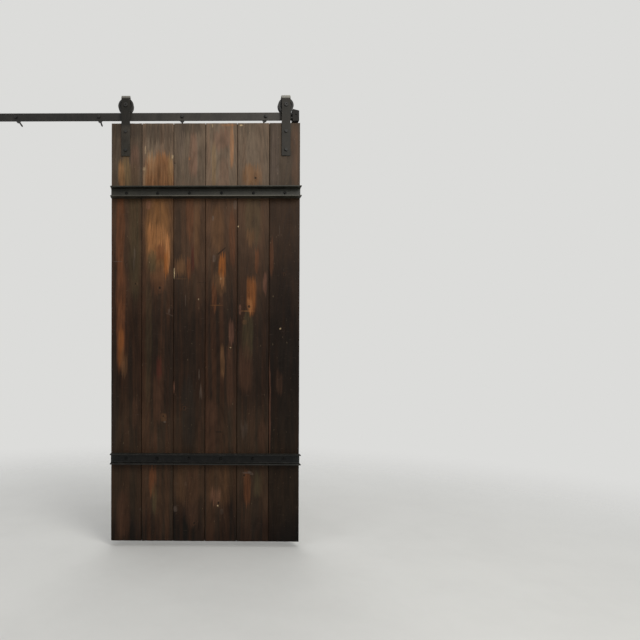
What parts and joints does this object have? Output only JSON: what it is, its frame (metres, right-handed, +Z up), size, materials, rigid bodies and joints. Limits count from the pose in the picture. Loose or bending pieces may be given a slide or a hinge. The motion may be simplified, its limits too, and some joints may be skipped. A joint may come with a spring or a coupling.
{
  "type": "sliding barn door",
  "caption": "Plank barn door leaf with steel channels, hung by bent-strap roller hangers on a flat wall rail with standoffs and end stops.",
  "frame": {"origin": "on the wall plane, at the middle of the back face of the middle standoff, on the rail's centre line", "axes": "+X along the rail to the right as seen from the front, +Y into the wall, +Z up"},
  "size_m": [1.9503, 0.15, 2.1693],
  "materials": {
    "stained_pine": "dark walnut stain, worn and uneven, satin",
    "black_rail": "matte black powder coat",
    "black_channel": "matte black paint, rubbed at the edges",
    "black_strap": "matte black powder coat",
    "black_wheel": "blackened steel, dull",
    "black_fasteners": "black zinc, satin",
    "bearing_steel": "ground steel",
    "black_rubber": "matte rubber",
    "black_nylon": "matte nylon"
  },
  "bodies": {
    "track": {"track_rail": "black_rail", "standoff_1": "black_rail", "standoff_2": "black_rail", "standoff_3": "black_rail", "standoff_4": "black_rail", "standoff_5": "black_rail", "rail_lag_screws": "black_fasteners", "rail_washers": "black_fasteners", "end_stop_left": "black_rail", "end_stop_right": "black_rail", "stop_buttons_left": "black_rubber", "stop_buttons_right": "black_rubber", "stop_set_screws": "black_fasteners"},
    "door_leaf": {"plank_1": "stained_pine", "plank_2": "stained_pine", "plank_3": "stained_pine", "plank_4": "stained_pine", "plank_5": "stained_pine", "plank_6": "stained_pine", "channel_upper": "black_channel", "channel_lower": "black_channel", "channel_upper_screws": "black_fasteners", "channel_lower_screws": "black_fasteners", "hanger_strap_left": "black_strap", "hanger_strap_right": "black_strap", "strap_bolts": "black_fasteners", "strap_barrel_nuts": "black_fasteners", "axle_bolts": "black_fasteners", "axle_nuts": "black_fasteners", "axle_sleeves": "black_fasteners", "bearing_inner_ring_left": "bearing_steel", "bearing_inner_ring_right": "bearing_steel", "anti_jump_disc_left": "black_nylon", "anti_jump_disc_right": "black_nylon", "disc_screws": "black_fasteners"},
    "roller_left": {"wheel_left": "black_wheel", "bearing_outer_ring_left": "bearing_steel", "bearing_balls_left": "bearing_steel", "bearing_shields_left": "bearing_steel"},
    "roller_right": {"wheel_right": "black_wheel", "bearing_outer_ring_right": "bearing_steel", "bearing_balls_right": "bearing_steel", "bearing_shields_right": "bearing_steel"}
  },
  "joints": [
    {"name": "door_slide", "type": "slide", "parent": "track", "child": "door_leaf", "axis": [-1, 0, 0], "range_m": [0, 1.0425]},
    {"name": "roller_left_spin", "type": "hinge", "parent": "door_leaf", "child": "roller_left", "pos_m": [0.13325, -0.038, 0.0503], "axis": [0, -1, 0], "continuous": true},
    {"name": "roller_right_spin", "type": "hinge", "parent": "door_leaf", "child": "roller_right", "pos_m": [0.90925, -0.038, 0.0503], "axis": [0, -1, 0], "continuous": true}
  ],
  "couplings": [
    {"joint": "roller_left_spin", "follows": "door_slide", "rad_per_m": 32.258},
    {"joint": "roller_right_spin", "follows": "door_slide", "rad_per_m": 32.258}
  ]
}
